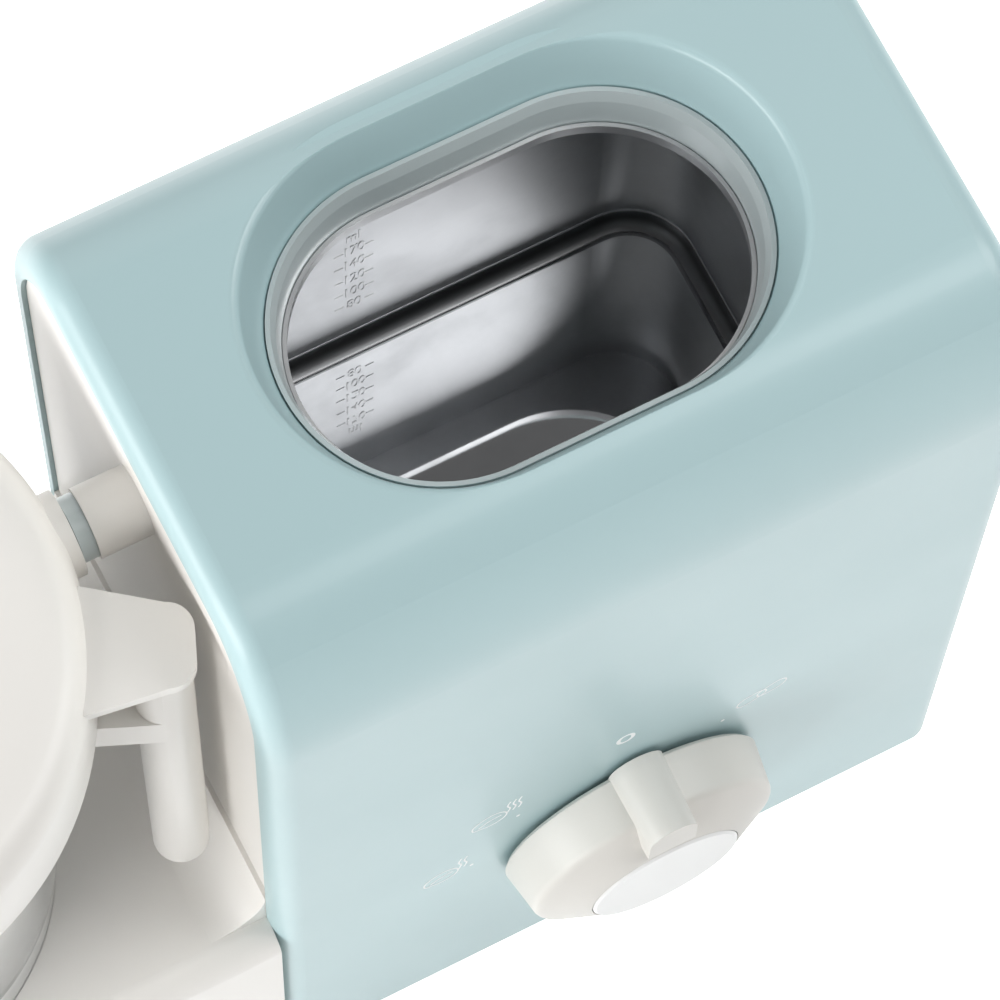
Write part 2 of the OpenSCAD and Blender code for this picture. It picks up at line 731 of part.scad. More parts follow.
module motor_plate() {
    color("#9fa3a6") in_bowl() translate([0, 0, plate_z - motor_plate_t]) difference() {
        cylinder(r = boss_ring_r + 6, h = motor_plate_t);
        translate([0, 0, -1]) cylinder(r = bush_r + 1, h = motor_plate_t + 2);
        for (a = [30, 150, 270]) rotate([0, 0, a]) translate([boss_ring_r, 0, -1])
            cylinder(r = screw_r + 0.1, h = motor_plate_t + 2);
    }
}

module plate_screws() {
    color("#9a9c9f") in_bowl() for (a = [30, 150, 270]) rotate([0, 0, a])
        translate([boss_ring_r, 0, plate_z - motor_plate_t - screw_head_h]) {
            cylinder(r = screw_head_r, h = screw_head_h);
            cylinder(r = screw_r, h = screw_head_h + motor_plate_t + boss_bore - 1);
        }
}

module motor_can() {
    z0 = plate_z - motor_plate_t - motor_h;
    color("#7d8286") in_bowl() difference() {
        union() {
            translate([0, 0, z0]) cylinder(r = motor_r, h = motor_h);
            translate([0, 0, z0 - 2]) cylinder(r = motor_r * 0.4, h = 3);
        }
        translate([0, 0, z0 - 3]) cylinder(r = shaft_r + run_fit, h = motor_h + 4);
        for (a = [0:45:315]) rotate([0, 0, a]) translate([motor_r - 3, -3, z0 + 8]) cube([4, 6, motor_h - 16]);
    }
}

coupling_z = seat_z + 2;
coupling_h = 9;
fan_z = foot_h + tray_t + 1.5;
module motor_shaft() {
    color("silver") in_bowl() translate([0, 0, fan_z]) cylinder(r = shaft_r, h = coupling_z + 5 - fan_z);
}

module cooling_fan() {
    fan_h = plate_z - motor_plate_t - motor_h - 3 - fan_z - 0.5;
    color("#3c3d40") in_bowl() translate([0, 0, fan_z]) difference() {
        union() {
            cylinder(r = 7, h = fan_h);
            cylinder(r = motor_r - 3, h = 1);
            for (a = [0:36:324]) rotate([0, 0, a]) translate([5, -0.6, 0]) cube([motor_r - 9, 1.2, fan_h]);
        }
        translate([0, 0, -1]) cylinder(r = shaft_r, h = fan_h + 2);
    }
}

module shaft_bush() {
    color("#b8894a") in_bowl() translate([0, 0, seat_z - 9]) ring(bush_r, shaft_r + run_fit, 6);
}

module shaft_lip_seal() {
    color("#4a4c50") in_bowl() translate([0, 0, seat_z - 3]) ring(bush_r, shaft_r + run_fit, 4);
}

// Star of dogs, drawn larger by a clearance where it is a socket
module dogs_2d(grow) {
    circle(7.5 + grow);
    for (a = [0:360 / dog_count:359]) rotate(a) translate([6, -1.8 - grow]) square([4.2 + grow, 3.6 + 2 * grow]);
}

module drive_coupling() {
    color("#2e2f33") in_bowl() translate([0, 0, coupling_z]) difference() {
        union() {
            cylinder(r = 12, h = 2);
            linear_extrude(coupling_h) dogs_2d(0);
        }
        translate([0, 0, -1]) cylinder(r = shaft_r, h = 6);
    }
}

module interlock_pin() {
    tip_gap = 0.3;
    color("#d7d4cf") in_bowl() translate([pin_at, 0, switch_top + switch_lever])
        cylinder(r = pin_r, h = seat_z - switch_top - switch_lever - tip_gap);
}

module microswitch() {
    lug = 3;
    color("#3c3d40") in_bowl() translate([pin_at, 0, switch_top - switch_h]) {
        translate([-switch_w / 2, -switch_l / 2, 0]) cube([switch_w, switch_l, switch_h]);
        translate([-lug / 2, -lug / 2, switch_h - 1]) cube([lug, lug, switch_lever + 0.7]);
        for (k = [-1:1]) translate([-lug_t / 2, k * switch_l * 0.3 - lug / 2, -lug_h + 2]) cube([lug_t, lug, lug_h - 1]);
    }
}

// ---------- bowl ----------

floor_z = seat_z + 17;
bowl_boss_r = 9;
boss_top = floor_z + bowl_wall + 8;
bush_bore_r = 4;
bowl_bush_r = 6;
rim_flange_r = bowl_rim_r + rim_flange;
rim_flange_h = 3;
wall_lean = (bowl_rim_r - bowl_foot_r) / bowl_h;
function bowl_r_at(z) = bowl_foot_r + (z - seat_z) * wall_lean;   // outer radius of the bowl at a height
function bowl_in_r(z) = bowl_r_at(z) - bowl_wall;

// Clear jar with a foot ring, a floor and a boss for the blade's bush
module bowl_jar() {
    w = bowl_wall;
    color("#dfe9ec", 0.4) in_bowl() rotate_extrude() polygon([
        [bowl_bush_r, floor_z - 5], [bowl_boss_r + 2, floor_z - 5], [bowl_boss_r + 2, floor_z],
        [bowl_in_r(floor_z) - 2, floor_z], [bowl_in_r(seat_z), floor_z - 3], [bowl_in_r(seat_z), seat_z],
        [bowl_foot_r, seat_z], [bowl_r_at(rim_z - rim_flange_h), rim_z - rim_flange_h],
        [rim_flange_r, rim_z - rim_flange_h], [rim_flange_r, rim_z], [bowl_in_r(rim_z), rim_z],
        [bowl_in_r(floor_z + w + 4), floor_z + w + 4], [bowl_in_r(floor_z + w) - 4, floor_z + w],
        [bowl_boss_r + 1.5, floor_z + w], [bowl_boss_r, floor_z + w + 1.5], [bowl_boss_r, boss_top], [bowl_bush_r, boss_top]]);
}

collar_h = 16;
collar_top = rim_z - rim_flange_h;
handle_r = handle_t / 2 - 0.1;
handle_gap = 2.5; // from the handle to the tower's side
// Bowl axis to the handle's middle
handle_out = (bowl_reach - handle_gap - handle_r - (handle_w / 2 - handle_r) * cos(handle_turn)
    - (handle_t / 2 - handle_r) * sin(handle_turn)) / sin(handle_turn);

// White collar under the rim, with a handle that stands free beside the bowl, its arm clear of the lid's skirt
module bowl_handle() {
    z0 = collar_top - collar_h;
    bottom = platform_z + handle_lift;
    color("#f1eeea") union() {
        in_bowl() rotate_extrude() polygon([[bowl_r_at(z0) + 0.1, z0], [rim_flange_r, z0 + 1],
            [rim_flange_r, collar_top], [bowl_r_at(collar_top) + 0.1, collar_top]]);
        at_handle() {
            translate([handle_out, 0, bottom])
                soft_block(handle_t, handle_w, lid_shoulder_z - bottom, handle_r, 4, true);
            translate([bowl_rim_r + 1, -handle_w / 2, z0])
                cube([handle_out - bowl_rim_r - 1, handle_w, skirt_z - 0.5 - z0]);
        }
    }
}

blade_z = boss_top + 1;
hub_h = 6;
nut_h = 7;
module blade_shaft() {
    color("silver") in_bowl() translate([0, 0, coupling_z + coupling_h])
        cylinder(r = bush_bore_r - run_fit, h = blade_z + hub_h + 5 - coupling_z - coupling_h);
}

module blade_bush() {
    color("#b8894a") in_bowl() translate([0, 0, floor_z - 3])
        ring(bowl_bush_r, bush_bore_r, boss_top - floor_z + 3);
}

module bowl_grommet() {
    color("#55575a") in_bowl() translate([0, 0, floor_z - 5]) ring(bowl_bush_r, bush_bore_r + run_fit, 2);
}

// One swept blade, flat, with its edge on the leading side
module blade_2d() {
    root = 5;
    steps = 10;
    lead = [for (i = [0:steps]) let (t = i / steps) [root + (blade_r - root) * t, 4 - 7 * t * t]];
    trail = [for (i = [steps:-1:0]) let (t = i / steps) [root + (blade_r - root) * t, -4 - 3.4 * t * t + 1.6 * t]];
    polygon(concat(lead, trail));
}

module blade_set() {
    blade_t = 1.4;
    tilt = 9;
    color("silver") in_bowl() translate([0, 0, blade_z]) difference() {
        union() {
            cylinder(r = 7.5, h = hub_h);
            for (i = [0:blade_count - 1]) rotate([0, 0, i * 360 / blade_count])
                translate([0, 0, 1 + 2.4 * (i % 2)]) rotate([0, i % 2 == 1 ? -tilt : 0, 0])
                    linear_extrude(blade_t) blade_2d();
        }
        translate([0, 0, -1]) cylinder(r = bush_bore_r - run_fit, h = hub_h + 2);
    }
}

module blade_nut() {
    color("#f1eeea") in_bowl() translate([0, 0, blade_z + hub_h]) difference() {
        cylinder(r = 7, h = nut_h, $fn = 6);
        translate([0, 0, -1]) cylinder(r = bush_bore_r - run_fit, h = 6);
    }
}

module driven_coupling() {
    socket_z = coupling_z + 2.5;
    top = floor_z - 5 - 0.3;
    color("#2e2f33") in_bowl() difference() {
        translate([0, 0, socket_z]) cylinder(r = 14, h = top - socket_z);
        translate([0, 0, socket_z - 1]) linear_extrude(coupling_z + coupling_h - socket_z + 1) dogs_2d(0.35);
        cylinder(r = bush_bore_r - run_fit, h = top + 5);
    }
}

// ---------- basket ----------

basket_top = rim_z - 14;
basket_wall = 2;
basket_flange_h = 2;
basket_floor = blade_z + hub_h + nut_h + basket_gap;
basket_h = basket_top - basket_floor;
basket_r = bowl_in_r(basket_floor) - 2.4;
basket_top_r = bowl_in_r(basket_top) - 2.4;

module steam_basket() {
    slot_n = 20;
    color("#f3f2ee") in_bowl() difference() {
        rotate_extrude() polygon([
            [0, basket_floor], [basket_r, basket_floor], [basket_top_r, basket_top - basket_flange_h],
            [bowl_in_r(basket_top - basket_flange_h) - fit, basket_top - basket_flange_h],
            [bowl_in_r(basket_top - basket_flange_h) - fit, basket_top],
            [basket_top_r - basket_wall, basket_top], [basket_r - basket_wall, basket_floor + basket_wall],
            [0, basket_floor + basket_wall]]);
        for (ring_i = [1:3]) for (k = [0:6 * ring_i - 1])
            rotate([0, 0, k * 60 / ring_i]) translate([ring_i * 12.5, 0, basket_floor - 1])
                cylinder(r = 2.2, h = basket_wall + 2, $fn = 16);
        for (k = [0:slot_n - 1]) rotate([0, 0, k * 360 / slot_n])
            translate([basket_r - 6, -1.2, basket_floor + basket_h / 5]) cube([12, 2.4, basket_h * 0.4]);
    }
}

// ---------- lid ----------

lid_in_r = rim_flange_r + lid_gap;
lid_out_r = lid_in_r + lid_wall;
skirt_z = rim_z - 8;
lid_top = skirt_z + lid_skirt_h + 8;
lid_shoulder_r = 7;
lid_shoulder_z = lid_top - lid_shoulder_r;
tab_t = 3;
tab_over = 1; // how far the tab passes the handle's edges
plug_r = bowl_in_r(rim_z) - 0.6;
lid_plate_t = 2.4;

// Domed cap with a skirt, a steam port towards the tower and a tab over the handle
module lid_cap() {
    wall = 2.6;
    shoulder_r = lid_shoulder_r;
    shoulder_z = lid_shoulder_z;
    arc = [for (a = [0:15:75]) [lid_out_r - shoulder_r + shoulder_r * cos(a), shoulder_z + shoulder_r * sin(a)]];
    port_r = nozzle_r + 1.4;
    vent_r = 13;
    color("#f6f5f2") difference() {
        union() {
            in_bowl() rotate_extrude() polygon(concat([[vent_r, lid_top - wall], [vent_r, lid_top - 0.6]],
                [[lid_out_r - shoulder_r - 16, lid_top + 0.4]], [for (i = [len(arc) - 1:-1:0]) arc[i]],
                [[lid_out_r, skirt_z], [lid_in_r, skirt_z], [lid_in_r, rim_z + 0.3], [plug_r, rim_z + 0.3],
                [plug_r, rim_z + lid_plate_t], [lid_in_r - 1, rim_z + lid_plate_t + 3],
                [lid_in_r - 1, shoulder_z], [lid_in_r - shoulder_r, lid_top - wall]]));
            in_mouth_row() rotate([0, 90, 0]) translate([0, 0, lid_out_r - 1.5])
                cylinder(r = port_r, h = port_face - lid_out_r + 1.5);
            at_handle() translate([lid_in_r + 0.5, 0, shoulder_z + lid_gap])
                lid_tab(handle_out + handle_t / 2 + tab_over - lid_in_r - 0.5);
        }
        in_mouth_row() rotate([0, 90, 0]) cylinder(r = steam_bore / 2, h = port_face + 1);
    }
}

// Where the steam port enters the lid: level with the tank's steam outlet
module in_mouth_row() { translate([bowl_x, tower_y + tank_back, steam_z]) children(); }

// Thumb tab over the handle, wider where it leaves the lid
module lid_tab(reach) {
    round_r = 5;
    half = handle_w / 2 + tab_over;
    root = half + 4;
    linear_extrude(tab_t) {
        polygon([[0, -root], [reach - round_r, -half], [reach - round_r, half], [0, root]]);
        translate([reach - round_r - tiny, round_r - half]) square([round_r + tiny, 2 * (half - round_r)]);
        for (y = [-1, 1]) translate([reach - round_r, y * (half - round_r)]) circle(round_r);
    }
}

// Inner plate with a ring of steam holes
module lid_plate() {
    color("#eceae6") in_bowl() translate([0, 0, rim_z]) difference() {
        cylinder(r = plug_r - fit, h = lid_plate_t);
        for (k = [0:11]) rotate([0, 0, 30 * k]) translate([22, 0, -1]) cylinder(r = 2.6, h = lid_plate_t + 2, $fn = 20);
    }
}

module lid_seal() {
    color("#c9cdcd") in_bowl() translate([0, 0, rim_z - 5])
        rotate_extrude() polygon([[plug_r - 4, 0], [plug_r - 1, 0], [plug_r - 0.4, 3], [plug_r - 0.4, 5], [plug_r - 4, 5]]);
}

module lid_vent_plug() {
    vent_r = 13 - fit;
    color("#dfe9ec", 0.5) in_bowl() translate([0, 0, lid_top - 2.6])
        rotate_extrude() polygon([[0, 0], [vent_r, 0], [vent_r, 2], [vent_r - 3, 4.2], [0, 4.8]]);
}

tower_shell();
side_panel_left();
side_panel_right();
tank_gasket();
tank_collar();
tank_pan();
tank_frame();
heat_plate();
heating_tube();
thermostat();
thermal_fuse();
steam_tube();
steam_nozzle();
nozzle_seal();
knob();
knob_cap();
switch_shaft();
rotary_switch();
control_board();
board_parts();
board_spacers();
cord_gland();
base_tray();
feet();
tray_screws();
motor_base();
motor_plate();
plate_screws();
motor_can();
motor_shaft();
cooling_fan();
shaft_bush();
shaft_lip_seal();
drive_coupling();
interlock_pin();
microswitch();
bowl_jar();
bowl_handle();
blade_shaft();
blade_bush();
blade_set();
blade_nut();
driven_coupling();
bowl_grommet();
steam_basket();
lid_cap();
lid_plate();
lid_seal();
lid_vent_plug();
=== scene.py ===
import math

import bpy
from mathutils import Matrix, Vector


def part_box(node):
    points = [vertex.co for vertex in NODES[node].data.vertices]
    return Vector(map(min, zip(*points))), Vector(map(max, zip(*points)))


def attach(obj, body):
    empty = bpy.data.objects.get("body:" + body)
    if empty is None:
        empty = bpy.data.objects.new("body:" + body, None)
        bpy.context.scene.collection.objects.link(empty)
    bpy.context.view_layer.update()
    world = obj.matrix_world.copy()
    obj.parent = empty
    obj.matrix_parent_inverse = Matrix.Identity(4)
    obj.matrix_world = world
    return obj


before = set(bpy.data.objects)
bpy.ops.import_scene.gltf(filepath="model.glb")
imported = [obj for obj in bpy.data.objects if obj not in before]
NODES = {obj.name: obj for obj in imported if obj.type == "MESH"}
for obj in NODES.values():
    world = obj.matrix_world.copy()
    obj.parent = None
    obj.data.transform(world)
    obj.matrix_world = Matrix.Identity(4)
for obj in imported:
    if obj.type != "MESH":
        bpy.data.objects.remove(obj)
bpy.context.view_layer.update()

bl_info = {
    "name": "Baby Food Maker",
    "version": (1, 0, 0),
    "blender": (4, 5, 0),
    "location": "View3D > Sidebar > Food Maker",
    "description": "Finishes a steam cooker and blender for baby food and builds its studio",
    "category": "Object",
}

MM = 0.001


def node_box(name):
    """Lowest and highest corner of a node, in metres."""
    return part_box(name)


# ---------------------------------------------------------------- places on the solids

PAN_FLANGE = 7 * MM             # from the tank's outer edge to the inner face of its wall
PAN_SHEET = 0.8 * MM            # thickness of the tank's floor
PAN_CORNER = 14 * MM            # inner corner of the tank's wall, seen from above

SHELL_LO, SHELL_HI = node_box("tower_shell")
PAN_LO, PAN_HI = node_box("tank_pan")
SHAFT_LO, SHAFT_HI = node_box("switch_shaft")
TOWER_X = (SHELL_LO.x + SHELL_HI.x) / 2
FACE_Y = SHELL_LO.y
TOP_Z = SHELL_HI.z
KNOB_X = (SHAFT_LO.x + SHAFT_HI.x) / 2
KNOB_Z = (SHAFT_LO.z + SHAFT_HI.z) / 2
PAN_WALL_Y = PAN_HI.y - PAN_FLANGE
PAN_FLOOR_Z = PAN_LO.z + PAN_SHEET
PAN_MIDDLE = (PAN_LO + PAN_HI) / 2

# ---------------------------------------------------------------- printed signs

# Places are in millimetres to the right of the knob's axis and above it.
ZERO_AT = (-2.5, 46)
DOTS_AT = ((-25.5, 29.0), (-35.4, 9.6), (20.2, 25.4))
STEAM_AT = (-41.2, 12.2)
STEAM_MORE_AT = (-30.9, 36.0)
BLEND_AT = (28.5, 31.6)
PRINT_Y = FACE_Y - 0.02 * MM    # middle of the ink, just proud of the front
ZERO_INK = 0.03 * MM            # half the thickness of the zero
DOT_INK = 0.06 * MM             # thickness of a dot
STROKE_FLATTEN = 0.16           # a round line pressed to this share of its depth

# Strokes are (points, closed), in units of the sign's width.
LEAF = ([(-0.5, -0.3), (-0.22, 0.16), (0.14, 0.14), (0.28, -0.22), (0.02, -0.46),
         (-0.3, -0.42)], True)
VEIN = ([(-0.36, -0.3), (-0.1, -0.12), (0.16, -0.08)], False)
LOBE = ([(-0.1, -0.08), (0.18, 0.26), (0.5, 0.3), (0.54, 0.02), (0.28, -0.16)], True)
LOBE_TURNED = ([(-x, -z) for x, z in LOBE[0]], True)
WAVES = [([(x, -0.1), (x + 0.06, 0.12), (x, 0.34), (x + 0.06, 0.56)], False)
         for x in (0.3, 0.43, 0.56)]

# ---------------------------------------------------------------- filling scale

UNIT_ROW = "ml"                 # the one row without a line on each side
SCALE_ROWS = (                  # words, and millimetres below the tower's top
    (UNIT_ROW, 44.5), ("170", 50.7), ("140", 57.3), ("120", 64.2), ("100", 70.8), ("80", 77))
SCALE_LEFT = 16.6 * MM          # from the tower's middle to the scale's middle
SCALE_PROUD = 0.03 * MM         # from the wall to the middle of the digits
SCALE_RELIEF = 0.06 * MM        # half the depth of the digits and lines
SCALE_BOLD = 0.00002            # widening of the digits' strokes, in metres
DASH_GAP = 2.3 * MM             # from the scale's middle to the near end of a line
DASH_HALF_HEIGHT = 0.16 * MM
SEAM_RISES = (2.8, 4.0)         # millimetres above the tank's floor
CAPITAL_HEIGHT = 0.72           # height of a digit as a share of the letter size

# ---------------------------------------------------------------- softened edges

SOFT_NODES = (                  # rounded beside the knob, whose width is a property
    ("knob_cap", 0.3 * MM), ("bowl_handle", 0.6 * MM), ("motor_base", 0.6 * MM),
    ("lid_cap", 0.6 * MM))
SOFT_ANGLE = math.radians(32)   # a fold sharper than this is an edge
SOFT_SEGMENTS = 3
WELD_GAP = 2e-6                 # metres between corners that count as one

# ---------------------------------------------------------------- values of the finishes

BUMP_STEP = 0.0001              # height of a bump of strength one, in metres
DRIFT_SCALE = 22.0              # of the slow change in gloss and tone
DRIFT_SWING = 0.06              # change of roughness to either side
SMUDGE_SCALE, SMUDGE_SHARE = 38.0, 0.75
SPECK_SCALE, SPECK_SHARE = 240.0, 0.25
STAIN_CONTRAST = 3.0            # spreads the two noises round their middle
FOLD_FALL = 0.1                 # power of the fold's shade, the lower the flatter its middle
ACRYLIC_IOR = 1.49

# Grain of the tank's polished floor and of its duller wall
TANK_FLOOR = {"rough": 0.025, "smudge": 0.012, "depth": 0.001}
TANK_WALL = {"rough": 0.40, "smudge": 0.06, "depth": 0.02}
TANK_GRAIN_SOCKETS = {"rough": "Roughness", "smudge": "Smudge", "depth": "Line Depth"}
TANK_GRAIN_RUN = 0.25 * MM      # height over which the floor's grain turns into the wall's
TANK_TINT = (0.68, 0.69, 0.705)
# Painted shade in the fold where the tank's wall runs into its floor: its middle, half width and
# depth
FOLD_RISE = 1.7 * MM            # middle of the fold above the floor
FOLD_HALF = 1.69 * MM
FOLD_SHADE_DEPTH = 0.85

# ---------------------------------------------------------------- studio

FLOOR_SIZE = 8                  # metres
FLOOR_GREY = 0.86
FLOOR_ROUGH = 0.9
FLOOR_GLOW = 0.75               # added where the floor itself is seen, so that it comes out white

# The world's light runs along two axes: axis, from, to, level at from, level at to.
WORLD_RUNS = (("X", -0.8, 0.7, 1.0, 0.6), ("Z", 0.35, 0.9, 0.37, 0.19))

# Each lamp: name, place, point it faces, width and height, watts.
LAMPS = (
    ("lamp_back", (0.60, 1.25, 1.05), (TOWER_X, 0, 0.2), (2.2, 1.4), 8),
    ("lamp_front", (0.3, -1.35, 0.60), (TOWER_X, 0, 0.1), (1.4, 0.6), 0.25),
    ("lamp_right", (1.0, -0.33, 1.3), (TOWER_X, 0, 0.2), (0.9, 0.9), 12),
    ("lamp_above", (0.35, -0.40, 1.50), (0.35, -0.40, 0), (0.46, 0.60), 2.5),
    ("lamp_left", (-1.35, -0.16, 0.44), (0, 0, 0.15), (1.5, 0.8), 26),
)

CAMERA_LENS = 192.29            # millimetres, as is the sensor's width
CAMERA_SENSOR = 36
CAMERA_REACH = 20               # metres
CAMERA_OFFSET = Vector((-184.2, -252.2, 866.6)) * MM     # from the middle of the top front edge
CAMERA_LOOK = Vector((0.17354, 0.29194, -0.94057))
CAMERA_UP = Vector((0.41615, 0.82642, 0.37928))


def srgb(r, g, b):
    """Linear colour of an 8-bit sRGB one."""
    def lin(v):
        v /= 255
        return v / 12.92 if v <= 0.04045 else ((v + 0.055) / 1.055) ** 2.4
    return (lin(r), lin(g), lin(b), 1.0)


# ---------------------------------------------------------------- properties

class FoodMakerSizes(bpy.types.PropertyGroup):
    zero_height: bpy.props.FloatProperty(
        name="Zero height", description="Height of the printed zero above the knob",
        default=4.6 * MM, unit="LENGTH")
    zero_stretch: bpy.props.FloatProperty(
        name="Zero stretch", description="Width of the printed zero against the plain letter form",
        default=1.5)
    icon_size: bpy.props.FloatProperty(
        name="Icon size", description="Width of a printed sign beside the knob",
        default=9.5 * MM, unit="LENGTH")
    print_line: bpy.props.FloatProperty(
        name="Print line", description="Width of a printed line", default=0.42 * MM, unit="LENGTH")
    dot_radius: bpy.props.FloatProperty(
        name="Dot radius", description="Radius of the printed dots round the knob",
        default=0.45 * MM, unit="LENGTH")
    scale_digits: bpy.props.FloatProperty(
        name="Scale digits", description="Height of the engraved numbers in the tank",
        default=4.0 * MM, unit="LENGTH")
    scale_stretch: bpy.props.FloatProperty(
        name="Scale stretch",
        description="Width of the engraved numbers against the plain letter form", default=0.58)
    scale_dash: bpy.props.FloatProperty(
        name="Scale dash", description="Length of the line on each side of an engraved number",
        default=1.8 * MM, unit="LENGTH")
    seam_line: bpy.props.FloatProperty(
        name="Seam line",
        description="Width of the fine lines where the tank's wall runs into its floor",
        default=0.24 * MM, unit="LENGTH")
    knob_edge: bpy.props.FloatProperty(
        name="Knob edge", description="Rounding of the knob's edges", default=0.7 * MM,
        unit="LENGTH")


class FoodMakerColours(bpy.types.PropertyGroup):
    housing: bpy.props.FloatVectorProperty(
        name="Housing", description="Paint of the tower's housing",
        subtype="COLOR", size=4, min=0, max=1, default=srgb(176, 203, 206))
    white: bpy.props.FloatVectorProperty(
        name="White", description="Plastic of the panels, the base, the handle and the lid",
        subtype="COLOR", size=4, min=0, max=1, default=srgb(240, 237, 232))
    gasket: bpy.props.FloatVectorProperty(
        name="Gasket", description="Soft ring round the tank's mouth",
        subtype="COLOR", size=4, min=0, max=1, default=srgb(196, 206, 207))
    print_ink: bpy.props.FloatVectorProperty(
        name="Print", description="Ink of the signs round the knob",
        subtype="COLOR", size=4, min=0, max=1, default=srgb(246, 250, 250))


# ---------------------------------------------------------------- shared effects

def new_group(name, inputs, outputs):
    """An empty node group; each input is (name, kind, default) and each output (name, kind)."""
    tree = bpy.data.node_groups.new(name, "ShaderNodeTree")
    for label, kind, default in inputs:
        sock = tree.interface.new_socket(
            name=label, in_out="INPUT", socket_type="NodeSocket" + kind)
        sock.default_value = default
    for label, kind in outputs:
        tree.interface.new_socket(name=label, in_out="OUTPUT", socket_type="NodeSocket" + kind)
    return tree, tree.nodes.new("NodeGroupInput"), tree.nodes.new("NodeGroupOutput")


def feed(tree, value, sock):
    """Sets a socket to a number, or links another socket to it."""
    if isinstance(value, (int, float)):
        sock.default_value = value
    else:
        tree.links.new(value, sock)


def math_node(tree, op, a, b=None, clamp=False):
    node = tree.nodes.new("ShaderNodeMath")
    node.operation = op
    node.use_clamp = clamp
    feed(tree, a, node.inputs[0])
    if b is not None:
        feed(tree, b, node.inputs[1])
    return node.outputs[0]


def noise_node(tree, vector, scale, detail, rough):
    node = tree.nodes.new("ShaderNodeTexNoise")
    node.inputs["Detail"].default_value = detail
    node.inputs["Roughness"].default_value = rough
    feed(tree, scale, node.inputs["Scale"])
    tree.links.new(vector, node.inputs["Vector"])
    return node.outputs["Fac"]


def bump_node(tree, height, strength):
    node = tree.nodes.new("ShaderNodeBump")
    node.inputs["Distance"].default_value = BUMP_STEP
    tree.links.new(strength, node.inputs["Strength"])
    tree.links.new(height, node.inputs["Height"])
    return node.outputs["Normal"]


def object_vector(tree):
    return tree.nodes.new("ShaderNodeTexCoord").outputs["Object"]


def object_height(tree):
    split = tree.nodes.new("ShaderNodeSeparateXYZ")
    tree.links.new(object_vector(tree), split.inputs[0])
    return split.outputs["Z"]


def darken(tree, colour, value):
    """A colour times a value."""
    hsv = tree.nodes.new("ShaderNodeHueSaturation")
    tree.links.new(colour, hsv.inputs["Color"])
    tree.links.new(value, hsv.inputs["Value"])
    return hsv.outputs["Color"]


def moulded_grain():
    """Fine moulded texture: a bumped normal and a roughness that drifts over the surface."""
    tree, gin, gout = new_group(
        "Moulded Grain",
        [("Grain Scale", "Float", 2600.0), ("Grain Depth", "Float", 0.05),
         ("Roughness", "Float", 0.4), ("Roughness Drift", "Float", DRIFT_SWING)],
        [("Roughness", "Float"), ("Normal", "Vector"), ("Drift", "Float")])
    at = object_vector(tree)
    grain = noise_node(tree, at, gin.outputs["Grain Scale"], detail=2.0, rough=0.5)
    drift = noise_node(tree, at, DRIFT_SCALE, detail=4.0, rough=0.55)
    centred = math_node(tree, "SUBTRACT", drift, 0.5)
    swing = math_node(tree, "MULTIPLY", centred, gin.outputs["Roughness Drift"])
    rough = math_node(tree, "ADD", gin.outputs["Roughness"],
                      math_node(tree, "MULTIPLY", swing, 2.0), clamp=True)
    tree.links.new(rough, gout.inputs["Roughness"])
    tree.links.new(bump_node(tree, grain, gin.outputs["Grain Depth"]), gout.inputs["Normal"])
    tree.links.new(drift, gout.inputs["Drift"])
    return tree


def tone_drift():
    """Slight unevenness of a colour, from a mask."""
    tree, gin, gout = new_group(
        "Tone Drift",
        [("Color", "Color", (0.8, 0.8, 0.8, 1)), ("Mask", "Float", 0.5),
         ("Amount", "Float", 0.05)],
        [("Color", "Color")])
    dip = math_node(tree, "MULTIPLY", gin.outputs["Mask"], gin.outputs["Amount"])
    low = math_node(tree, "SUBTRACT", 1.0, dip)
    tree.links.new(darken(tree, gin.outputs["Color"], low), gout.inputs["Color"])
    return tree


def height_blend():
    """A value that runs from one level to another between two heights."""
    tree, gin, gout = new_group(
        "Height Blend",
        [("Low", "Float", 0.0), ("High", "Float", 1.0), ("From", "Float", 0.0),
         ("To", "Float", 0.01)],
        [("Value", "Float")])
    blend = tree.nodes.new("ShaderNodeMapRange")
    blend.interpolation_type = "SMOOTHSTEP"
    tree.links.new(object_height(tree), blend.inputs["Value"])
    tree.links.new(gin.outputs["From"], blend.inputs["From Min"])
    tree.links.new(gin.outputs["To"], blend.inputs["From Max"])
    span = math_node(tree, "SUBTRACT", gin.outputs["High"], gin.outputs["Low"])
    rise = math_node(tree, "MULTIPLY", span, blend.outputs["Result"])
    tree.links.new(math_node(tree, "ADD", gin.outputs["Low"], rise), gout.inputs["Value"])
    return tree


def painted_fold_shade():
    """A value of one that dips over a band of heights: painted shade in a fold."""
    tree, gin, gout = new_group(
        "Painted Fold Shade",
        [("Middle", "Float", 0.0), ("Half Width", "Float", 0.002), ("Depth", "Float", 0.6)],
        [("Value", "Float")])
    off = math_node(tree, "ABSOLUTE",
                    math_node(tree, "SUBTRACT", object_height(tree), gin.outputs["Middle"]))
    share = math_node(tree, "DIVIDE", off, gin.outputs["Half Width"])
    near = math_node(tree, "SUBTRACT", 1.0, share, clamp=True)
    soft = math_node(tree, "POWER", near, FOLD_FALL)
    dip = math_node(tree, "MULTIPLY", soft, gin.outputs["Depth"])
    tree.links.new(math_node(tree, "SUBTRACT", 1.0, dip), gout.inputs["Value"])
    return tree


